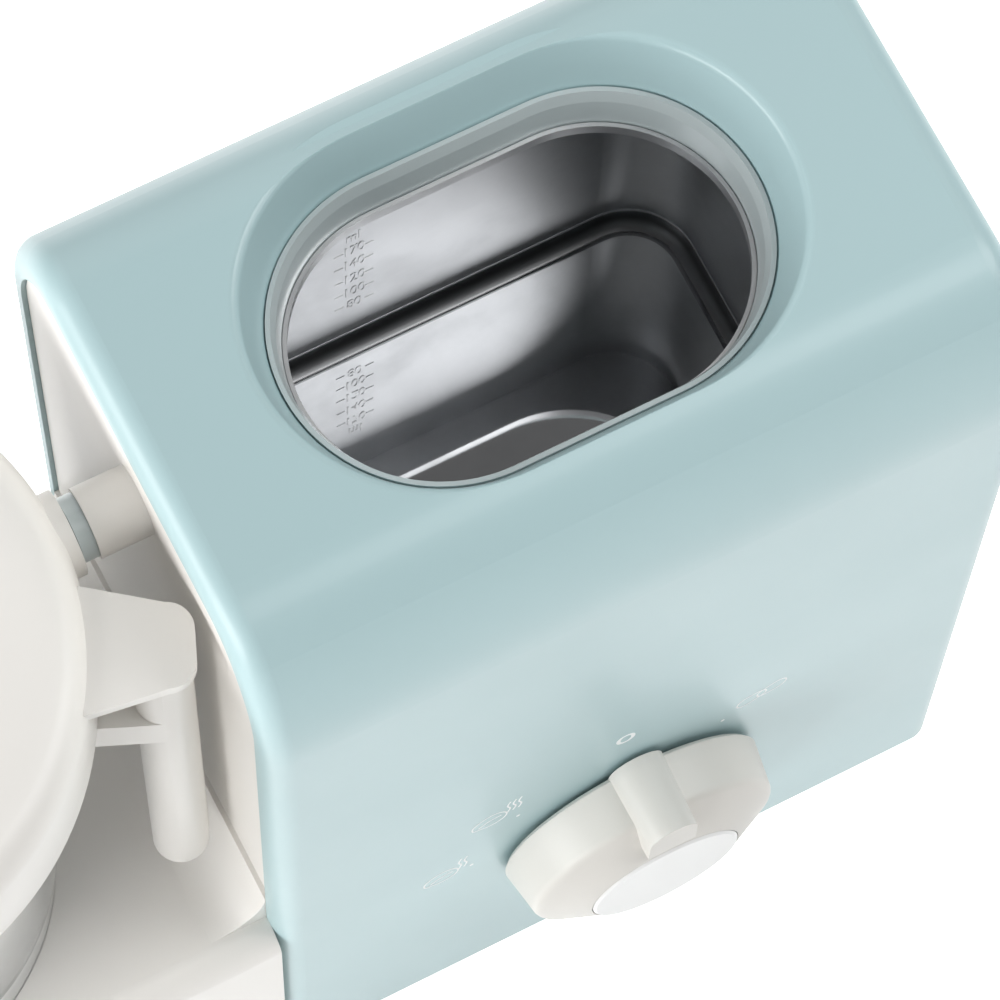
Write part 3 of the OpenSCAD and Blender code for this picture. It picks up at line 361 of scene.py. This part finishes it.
def drawn_steel():
    """Rolled and drawn sheet: fine lines along one axis, handling smudges and faint stains."""
    tree, gin, gout = new_group(
        "Drawn Steel",
        [("Line Stretch", "Vector", (40, 1200, 1200)), ("Line Depth", "Float", 0.06),
         ("Roughness", "Float", 0.2), ("Smudge", "Float", 0.12),
         ("Tint", "Color", (0.6, 0.61, 0.62, 1)), ("Stain", "Float", 0.15)],
        [("Color", "Color"), ("Roughness", "Float"), ("Normal", "Vector")])
    at = object_vector(tree)
    scaled = tree.nodes.new("ShaderNodeVectorMath")
    scaled.operation = "MULTIPLY"
    tree.links.new(at, scaled.inputs[0])
    tree.links.new(gin.outputs["Line Stretch"], scaled.inputs[1])
    lines = noise_node(tree, scaled.outputs["Vector"], 1.0, detail=3.0, rough=0.6)
    smudge = noise_node(tree, at, SMUDGE_SCALE, detail=6.0, rough=0.62)
    speck = noise_node(tree, at, SPECK_SCALE, detail=3.0, rough=0.7)
    both = math_node(tree, "ADD", math_node(tree, "MULTIPLY", smudge, SMUDGE_SHARE),
                     math_node(tree, "MULTIPLY", speck, SPECK_SHARE))
    centred = math_node(tree, "SUBTRACT", both, 0.5)
    off = math_node(tree, "MULTIPLY", centred, STAIN_CONTRAST)
    rough = math_node(tree, "ADD", gin.outputs["Roughness"],
                      math_node(tree, "MULTIPLY", off, gin.outputs["Smudge"]), clamp=True)
    fall = math_node(tree, "MULTIPLY", math_node(tree, "ABSOLUTE", off), gin.outputs["Stain"])
    kept = math_node(tree, "SUBTRACT", 1.0, fall)
    tree.links.new(darken(tree, gin.outputs["Tint"], kept), gout.inputs["Color"])
    tree.links.new(rough, gout.inputs["Roughness"])
    tree.links.new(bump_node(tree, lines, gin.outputs["Line Depth"]), gout.inputs["Normal"])
    return tree


# ---------------------------------------------------------------- materials

def place_group(mat, tree, **values):
    """The group in a material; an underscore in a value's name stands for a space."""
    node = mat.node_tree.nodes.new("ShaderNodeGroup")
    node.node_tree = tree
    for key, value in values.items():
        node.inputs[key.replace("_", " ")].default_value = value
    return node


def bare_material(name):
    mat = bpy.data.materials.new(name)
    mat.use_nodes = True
    return mat, mat.node_tree.links, mat.node_tree.nodes["Principled BSDF"]


def plastic(name, colour, rough, grain=0.05, scale=2600.0, tone=0.04, coat=0.0, coat_rough=0.2):
    """Moulded or painted plastic with grain, uneven gloss and uneven tone."""
    mat, links, bsdf = bare_material(name)
    g = place_group(mat, GROUPS["grain"], Grain_Scale=scale, Grain_Depth=grain, Roughness=rough,
                    Roughness_Drift=DRIFT_SWING)
    t = place_group(mat, GROUPS["tone"], Color=tuple(colour), Amount=tone)
    links.new(g.outputs["Drift"], t.inputs["Mask"])
    links.new(t.outputs["Color"], bsdf.inputs["Base Color"])
    links.new(g.outputs["Roughness"], bsdf.inputs["Roughness"])
    links.new(g.outputs["Normal"], bsdf.inputs["Normal"])
    bsdf.inputs["Coat Weight"].default_value = coat
    bsdf.inputs["Coat Roughness"].default_value = coat_rough
    return mat


def metal(name, tint, rough, stretch=(40, 1200, 1200), depth=0.06, smudge=0.12, stain=0.15):
    """Rolled, turned or cast metal with lines or grain, smudges and stains."""
    mat, links, bsdf = bare_material(name)
    g = place_group(mat, GROUPS["steel"], Line_Stretch=stretch, Line_Depth=depth,
                    Roughness=rough, Smudge=smudge, Tint=tuple(tint), Stain=stain)
    links.new(g.outputs["Color"], bsdf.inputs["Base Color"])
    links.new(g.outputs["Roughness"], bsdf.inputs["Roughness"])
    links.new(g.outputs["Normal"], bsdf.inputs["Normal"])
    bsdf.inputs["Metallic"].default_value = 1.0
    return mat


def clear(name, colour, rough, weight):
    """Clear moulded plastic with faint flow marks."""
    mat, links, bsdf = bare_material(name)
    g = place_group(mat, GROUPS["grain"], Grain_Scale=60.0, Grain_Depth=0.04, Roughness=rough,
                    Roughness_Drift=0.02)
    links.new(g.outputs["Roughness"], bsdf.inputs["Roughness"])
    links.new(g.outputs["Normal"], bsdf.inputs["Normal"])
    bsdf.inputs["Base Color"].default_value = tuple(colour)
    bsdf.inputs["Transmission Weight"].default_value = weight
    bsdf.inputs["IOR"].default_value = ACRYLIC_IOR
    return mat


def tank_steel(name, floor_z):
    """Deep-drawn steel: a polished floor, a duller wall, and painted shade in the fold between
    them.
    """
    mat = metal(name, (*TANK_TINT, 1), stretch=(30, 900, 900), stain=0.12, **TANK_WALL)
    nodes, links = mat.node_tree.nodes, mat.node_tree.links
    steel = next(n for n in nodes if n.type == "GROUP")
    for key, socket in TANK_GRAIN_SOCKETS.items():
        run = place_group(mat, GROUPS["height"], Low=TANK_FLOOR[key], High=TANK_WALL[key],
                          From=floor_z, To=floor_z + TANK_GRAIN_RUN)
        links.new(run.outputs["Value"], steel.inputs[socket])
    # The tank's tint darkened in a band just above the floor: painted shade in the fold
    fold = place_group(mat, GROUPS["fold"], Middle=floor_z + FOLD_RISE, Half_Width=FOLD_HALF,
                       Depth=FOLD_SHADE_DEPTH)
    tint = nodes.new("ShaderNodeVectorMath")
    tint.operation = "SCALE"
    tint.inputs[0].default_value = TANK_TINT
    links.new(fold.outputs["Value"], tint.inputs["Scale"])
    links.new(tint.outputs["Vector"], steel.inputs["Tint"])
    return mat


GROUPS = {}
FINISH = {}


def make_finishes(colours):
    GROUPS.update(grain=moulded_grain(), tone=tone_drift(), height=height_blend(),
                  fold=painted_fold_shade(), steel=drawn_steel())
    FINISH.update(
        shell=plastic("Satin Paint", colours.housing, 0.4, grain=0.03, scale=3200, tone=0.03,
                      coat=0.15, coat_rough=0.12),
        white=plastic("White Plastic", colours.white, 0.38, grain=0.04, tone=0.03),
        # A darker copy of the white plastic for the knob: painted shade, as the lamps light the
        # knob too strongly
        knob=plastic("Knob Plastic Painted Shade", srgb(214, 211, 205), 0.42, grain=0.06, scale=2200,
                     tone=0.03),
        cap=plastic("Cap Plastic", srgb(232, 232, 231), 0.3, grain=0.03, tone=0.02),
        inner=plastic("Inner Plastic", srgb(226, 223, 217), 0.5, grain=0.1, tone=0.06),
        gasket=plastic("Gasket Silicone", colours.gasket, 0.3, grain=0.05, tone=0.08,
                       coat=0.35, coat_rough=0.12),
        ink=plastic("Print Ink", colours.print_ink, 0.45, grain=0.02, tone=0.01),
        tank=tank_steel("Tank Steel", PAN_FLOOR_Z),
        collar=metal("Collar Steel", (0.78, 0.785, 0.795, 1), 0.4, stretch=(300, 300, 900),
                     depth=0.03),
        engraved=metal("Engraved Steel", (0.74, 0.745, 0.755, 1), 0.42,
                       stretch=(900, 900, 900), depth=0.1),
        rod=metal("Turned Steel", (0.62, 0.62, 0.63, 1), 0.24, stretch=(60, 60, 2600),
                  depth=0.08),
        blade=metal("Blade Steel", (0.66, 0.665, 0.675, 1), 0.2, stretch=(1400, 90, 1400),
                    depth=0.06),
        sheet=metal("Zinc Sheet", (0.50, 0.51, 0.52, 1), 0.38, stretch=(60, 900, 900),
                    depth=0.08),
        heater=metal("Heater Sheath", (0.30, 0.30, 0.31, 1), 0.45, stretch=(200, 200, 200),
                     depth=0.12),
        alloy=metal("Cast Alloy", (0.62, 0.63, 0.64, 1), 0.5, stretch=(500, 500, 500),
                    depth=0.2),
        brass=metal("Sintered Brass", (0.62, 0.43, 0.19, 1), 0.42, stretch=(700, 700, 700),
                    depth=0.2),
        rubber=plastic("Foot Rubber", srgb(96, 98, 101), 0.7, grain=0.18, scale=1500,
                       tone=0.12),
        dark=plastic("Dark Plastic", srgb(52, 54, 58), 0.45, grain=0.1, tone=0.12),
        board=plastic("Circuit Board", srgb(44, 102, 66), 0.35, grain=0.06, scale=900,
                      tone=0.2),
        blue=plastic("Component Cases", srgb(52, 70, 98), 0.4, grain=0.06, tone=0.2),
        ceramic=plastic("Ceramic", srgb(219, 209, 196), 0.6, grain=0.15, tone=0.1),
        motor=plastic("Motor Enamel", srgb(128, 133, 137), 0.45, grain=0.1, tone=0.1),
        jar=clear("Bowl Plastic", (0.96, 0.98, 0.985, 1), 0.04, weight=0.92),
        vent=clear("Vent Plastic", (0.95, 0.97, 0.98, 1), 0.12, weight=0.75),
    )


NODE_FINISH = {
    "shell": ["tower_shell"],
    "white": ["side_panel_left", "side_panel_right", "steam_nozzle", "cord_gland", "motor_base",
              "bowl_handle", "blade_nut", "steam_basket", "lid_cap"],
    "knob": ["knob"],
    "cap": ["knob_cap"],
    "inner": ["tank_frame", "board_spacers", "base_tray", "interlock_pin", "lid_plate"],
    "gasket": ["tank_gasket", "steam_tube", "nozzle_seal", "lid_seal"],
    "tank": ["tank_pan"],
    "collar": ["tank_collar"],
    "rod": ["switch_shaft", "motor_shaft", "blade_shaft", "tray_screws", "plate_screws"],
    "blade": ["blade_set"],
    "sheet": ["motor_plate"],
    "heater": ["heating_tube"],
    "alloy": ["heat_plate"],
    "brass": ["thermal_fuse", "shaft_bush", "blade_bush"],
    "rubber": ["feet", "shaft_lip_seal", "bowl_grommet"],
    "dark": ["rotary_switch", "cooling_fan", "drive_coupling", "driven_coupling",
             "microswitch"],
    "board": ["control_board"],
    "blue": ["board_parts"],
    "ceramic": ["thermostat"],
    "motor": ["motor_can"],
    "jar": ["bowl_jar"],
    "vent": ["lid_vent_plug"],
}


# ---------------------------------------------------------------- modelling helpers

def deselect():
    bpy.ops.object.select_all(action="DESELECT")


def only(obj):
    deselect()
    obj.select_set(True)
    bpy.context.view_layer.objects.active = obj


def settle(obj):
    """Puts a finished piece's place into its mesh."""
    only(obj)
    bpy.ops.object.transform_apply(location=True, rotation=True, scale=True)
    return obj


def to_mesh(obj):
    only(obj)
    bpy.ops.object.convert(target="MESH")
    return bpy.context.object


def join(objs, name):
    deselect()
    for o in objs:
        o.select_set(True)
    bpy.context.view_layer.objects.active = objs[0]
    bpy.ops.object.join()
    out = bpy.context.object
    out.name = name
    return out


def give(obj, finish, body):
    """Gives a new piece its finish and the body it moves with."""
    obj.data.materials.clear()
    obj.data.materials.append(FINISH[finish])
    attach(obj, body)


def upright_text(words, height, x, y, z, thick, bold=0.0, stretch=1.0):
    """Text that stands in the XZ plane and faces the front, centred on a point."""
    deselect()
    bpy.ops.object.text_add(location=(x, y, z), rotation=(math.pi / 2, 0, 0))
    obj = bpy.context.object
    data = obj.data
    data.body = words
    data.align_x = "CENTER"
    data.align_y = "CENTER"
    data.size = height / CAPITAL_HEIGHT
    data.extrude = thick
    data.offset = bold
    data.resolution_u = 5
    obj.scale = (stretch, 1, 1)
    return settle(to_mesh(obj))


def stroke(points, x, y, z, size, line, cyclic):
    """A flat printed line through points given in units of the sign's size."""
    deselect()
    bpy.ops.curve.primitive_bezier_curve_add(location=(x, y, z))
    obj = bpy.context.object
    spline = obj.data.splines[0]
    spline.bezier_points.add(len(points) - len(spline.bezier_points))
    spline.use_cyclic_u = cyclic
    for bp, (px, pz) in zip(spline.bezier_points, points):
        bp.co = (px * size, 0, pz * size)
        bp.handle_left_type = bp.handle_right_type = "AUTO"
    obj.data.resolution_u = 6
    obj.data.bevel_depth = line / 2
    obj.data.bevel_resolution = 2
    obj.data.use_fill_caps = True
    obj = to_mesh(obj)
    obj.scale = (1, STROKE_FLATTEN, 1)
    return settle(obj)


def disc(x, y, z, radius, thick):
    """A round dot that faces the front."""
    deselect()
    bpy.ops.mesh.primitive_cylinder_add(
        vertices=32, radius=radius, depth=thick, location=(x, y, z),
        rotation=(math.pi / 2, 0, 0))
    return settle(bpy.context.object)


def dash(x, y, z, length):
    """A short engraved line, level and facing the front."""
    deselect()
    bpy.ops.mesh.primitive_cube_add(location=(x, y, z))
    obj = bpy.context.object
    obj.scale = (length / 2, SCALE_RELIEF, DASH_HALF_HEIGHT)
    return settle(obj)


def wall_line(middle, half_x, half_y, corner, z, line):
    """A fine line round an upright wall with rounded corners."""
    deselect()
    bpy.ops.mesh.primitive_plane_add(size=2, location=(middle.x, middle.y, z))
    obj = bpy.context.object
    obj.scale = (half_x, half_y, 1)
    settle(obj)
    bpy.ops.object.mode_set(mode="EDIT")
    bpy.ops.mesh.select_all(action="SELECT")
    bpy.ops.mesh.bevel(offset=corner, segments=12, affect="VERTICES")
    bpy.ops.mesh.delete(type="ONLY_FACE")
    bpy.ops.object.mode_set(mode="OBJECT")
    bpy.ops.object.convert(target="CURVE")
    obj = bpy.context.object
    obj.data.dimensions = "3D"
    obj.data.bevel_depth = line / 2
    obj.data.bevel_resolution = 1
    return to_mesh(obj)


def soften(node, width):
    """Rounds a node's sharp edges by modifiers and leaves its mesh alone."""
    obj = NODES[node]
    weld = obj.modifiers.new("Weld", "WELD")
    weld.merge_threshold = WELD_GAP
    bevel = obj.modifiers.new("Edge", "BEVEL")
    bevel.width = width
    bevel.segments = SOFT_SEGMENTS
    bevel.limit_method = "ANGLE"
    bevel.angle_limit = SOFT_ANGLE
    bevel.use_clamp_overlap = True
    bevel.harden_normals = False


# ---------------------------------------------------------------- studio helpers

def seen_by(tree, *kinds):
    """One where the ray is of one of these kinds, and zero elsewhere."""
    path = tree.nodes.new("ShaderNodeLightPath")
    lit = path.outputs[kinds[0]]
    for kind in kinds[1:]:
        lit = math_node(tree, "MAXIMUM", lit, path.outputs[kind])
    return lit


def lay_floor():
    """A pale floor that keeps the object's shadow and is seen as white."""
    deselect()
    bpy.ops.mesh.primitive_plane_add(size=FLOOR_SIZE, location=(0, 0, 0))
    floor = bpy.context.object
    floor.name = "floor"
    mat, links, bsdf = bare_material("Floor")
    nodes = mat.node_tree.nodes
    bsdf.inputs["Base Color"].default_value = (FLOOR_GREY, FLOOR_GREY, FLOOR_GREY, 1)
    bsdf.inputs["Roughness"].default_value = FLOOR_ROUGH
    glow = nodes.new("ShaderNodeEmission")
    glow.inputs["Color"].default_value = (1, 1, 1, 1)
    lit = seen_by(mat.node_tree, "Is Camera Ray", "Is Glossy Ray", "Is Transmission Ray")
    links.new(math_node(mat.node_tree, "MULTIPLY", lit, FLOOR_GLOW), glow.inputs["Strength"])
    add = nodes.new("ShaderNodeAddShader")
    links.new(bsdf.outputs[0], add.inputs[0])
    links.new(glow.outputs[0], add.inputs[1])
    links.new(add.outputs[0], nodes["Material Output"].inputs["Surface"])
    floor.data.materials.append(mat)


def light_world(scene):
    """A white backdrop whose light is stronger from the left and from low down."""
    world = bpy.data.worlds.new("Studio")
    scene.world = world
    world.use_nodes = True
    tree = world.node_tree
    back = tree.nodes["Background"]
    back.inputs["Color"].default_value = (1, 1, 1, 1)
    split = tree.nodes.new("ShaderNodeSeparateXYZ")
    direction = tree.nodes.new("ShaderNodeTexCoord").outputs["Generated"]
    tree.links.new(direction, split.inputs[0])
    levels = []
    for axis, *ends in WORLD_RUNS:
        run = tree.nodes.new("ShaderNodeMapRange")
        run.interpolation_type = "SMOOTHSTEP"
        tree.links.new(split.outputs[axis], run.inputs["Value"])
        for key, value in zip(("From Min", "From Max", "To Min", "To Max"), ends):
            run.inputs[key].default_value = value
        levels.append(run.outputs["Result"])
    room = math_node(tree, "MULTIPLY", *levels)
    plain = seen_by(tree, "Is Camera Ray", "Is Transmission Ray")
    tree.links.new(math_node(tree, "MAXIMUM", room, plain), back.inputs["Strength"])


def hang_lamp(name, at, aim, size, power):
    deselect()
    bpy.ops.object.light_add(type="AREA", location=at)
    obj = bpy.context.object
    obj.name = name
    obj.data.shape = "RECTANGLE"
    obj.data.size, obj.data.size_y = size
    obj.data.energy = power
    obj.rotation_euler = (Vector(aim) - Vector(at)).to_track_quat("-Z", "Y").to_euler()


def place_camera(scene):
    cam = bpy.data.cameras.new("camera")
    cam.lens = CAMERA_LENS
    cam.sensor_width = CAMERA_SENSOR
    cam.clip_end = CAMERA_REACH
    cam.dof.use_dof = False
    obj = bpy.data.objects.new("camera", cam)
    scene.collection.objects.link(obj)
    at = Vector((TOWER_X, FACE_Y, TOP_Z)) + CAMERA_OFFSET
    back = -CAMERA_LOOK.normalized()
    right = CAMERA_UP.cross(back).normalized()
    up = back.cross(right)
    turn = Matrix((right, up, back)).transposed().to_4x4()
    obj.matrix_world = Matrix.Translation(at) @ turn
    scene.camera = obj


# ---------------------------------------------------------------- operators

class FOODMAKER_OT_finishes(bpy.types.Operator):
    """Give every part its finish"""
    bl_idname = "foodmaker.finishes"
    bl_label = "Finishes"

    def execute(self, context):
        make_finishes(context.scene.food_maker_colours)
        for finish, names in NODE_FINISH.items():
            for name in names:
                data = NODES[name].data
                data.materials.clear()
                data.materials.append(FINISH[finish])
        return {"FINISHED"}


class FOODMAKER_OT_face_signs(bpy.types.Operator):
    """Print the zero, the dots and the signs round the knob"""
    bl_idname = "foodmaker.face_signs"
    bl_label = "Face signs"

    def execute(self, context):
        sizes = context.scene.food_maker_sizes

        def printed(obj):
            give(obj, "ink", "machine")

        def by_knob(place):
            return KNOB_X + place[0] * MM, PRINT_Y, KNOB_Z + place[1] * MM

        zero = upright_text("0", sizes.zero_height, *by_knob(ZERO_AT), ZERO_INK,
                            stretch=sizes.zero_stretch)
        zero.name = "sign_zero"
        printed(zero)
        printed(join([disc(*by_knob(place), sizes.dot_radius, DOT_INK) for place in DOTS_AT],
                     "sign_dots"))
        for name, place, strokes in (
                ("sign_steam", STEAM_AT, [LEAF, VEIN, *WAVES[:2]]),
                ("sign_steam_more", STEAM_MORE_AT, [LEAF, VEIN, *WAVES]),
                ("sign_blend", BLEND_AT, [LOBE, LOBE_TURNED])):
            made = [stroke(points, *by_knob(place), sizes.icon_size, sizes.print_line, closed)
                    for points, closed in strokes]
            printed(join(made, name))
        return {"FINISHED"}


class FOODMAKER_OT_tank_scale(bpy.types.Operator):
    """Engrave the filling scale and the fine lines at the foot of the tank's wall"""
    bl_idname = "foodmaker.tank_scale"
    bl_label = "Tank scale"

    def execute(self, context):
        sizes = context.scene.food_maker_sizes
        x, y = TOWER_X - SCALE_LEFT, PAN_WALL_Y - SCALE_PROUD
        made = []
        for words, drop in SCALE_ROWS:
            z = TOP_Z - drop * MM
            made.append(upright_text(words, sizes.scale_digits, x, y, z, SCALE_RELIEF,
                                     bold=SCALE_BOLD, stretch=sizes.scale_stretch))
            if words == UNIT_ROW:
                continue
            for side in (-1, 1):
                made.append(dash(x + side * (DASH_GAP + sizes.scale_dash / 2), y, z,
                                 sizes.scale_dash))
        give(join(made, "tank_scale"), "engraved", "machine")
        half_x = (PAN_HI.x - PAN_LO.x) / 2 - PAN_FLANGE
        half_y = (PAN_HI.y - PAN_LO.y) / 2 - PAN_FLANGE
        seams = [wall_line(PAN_MIDDLE, half_x, half_y, PAN_CORNER, PAN_FLOOR_Z + rise * MM,
                           sizes.seam_line)
                 for rise in SEAM_RISES]
        give(join(seams, "tank_seam"), "engraved", "machine")
        return {"FINISHED"}


class FOODMAKER_OT_soft_edges(bpy.types.Operator):
    """Round the moulded edges that catch the light"""
    bl_idname = "foodmaker.soft_edges"
    bl_label = "Soft edges"

    def execute(self, context):
        soften("knob", context.scene.food_maker_sizes.knob_edge)
        for node, width in SOFT_NODES:
            soften(node, width)
        return {"FINISHED"}


class FOODMAKER_OT_stage(bpy.types.Operator):
    """Build the floor, the lamps and the camera"""
    bl_idname = "foodmaker.stage"
    bl_label = "Stage"

    def execute(self, context):
        scene = context.scene
        lay_floor()
        light_world(scene)
        for lamp in LAMPS:
            hang_lamp(*lamp)
        place_camera(scene)
        scene.view_settings.view_transform = "Standard"
        return {"FINISHED"}


OPERATORS = (
    FOODMAKER_OT_finishes,
    FOODMAKER_OT_face_signs,
    FOODMAKER_OT_tank_scale,
    FOODMAKER_OT_soft_edges,
    FOODMAKER_OT_stage,
)


class FOODMAKER_PT_panel(bpy.types.Panel):
    """Lists the steps that finish the food maker"""
    bl_idname = "FOODMAKER_PT_panel"
    bl_label = "Food Maker"
    bl_space_type = "VIEW_3D"
    bl_region_type = "UI"
    bl_category = "Food Maker"

    def draw(self, context):
        for props in (context.scene.food_maker_sizes, context.scene.food_maker_colours):
            for key in props.bl_rna.properties.keys():
                if key not in {"rna_type", "name"}:
                    self.layout.prop(props, key)
        for op in OPERATORS:
            self.layout.operator(op.bl_idname)


CLASSES = (FoodMakerSizes, FoodMakerColours) + OPERATORS + (FOODMAKER_PT_panel,)


def register():
    for cls in CLASSES:
        bpy.utils.register_class(cls)
    bpy.types.Scene.food_maker_sizes = bpy.props.PointerProperty(type=FoodMakerSizes)
    bpy.types.Scene.food_maker_colours = bpy.props.PointerProperty(type=FoodMakerColours)


def unregister():
    del bpy.types.Scene.food_maker_sizes
    del bpy.types.Scene.food_maker_colours
    for cls in reversed(CLASSES):
        bpy.utils.unregister_class(cls)


def main():
    register()
    bpy.ops.foodmaker.finishes()
    bpy.ops.foodmaker.face_signs()
    bpy.ops.foodmaker.tank_scale()
    bpy.ops.foodmaker.soft_edges()
    bpy.ops.foodmaker.stage()


if __name__ == "__main__":
    main()
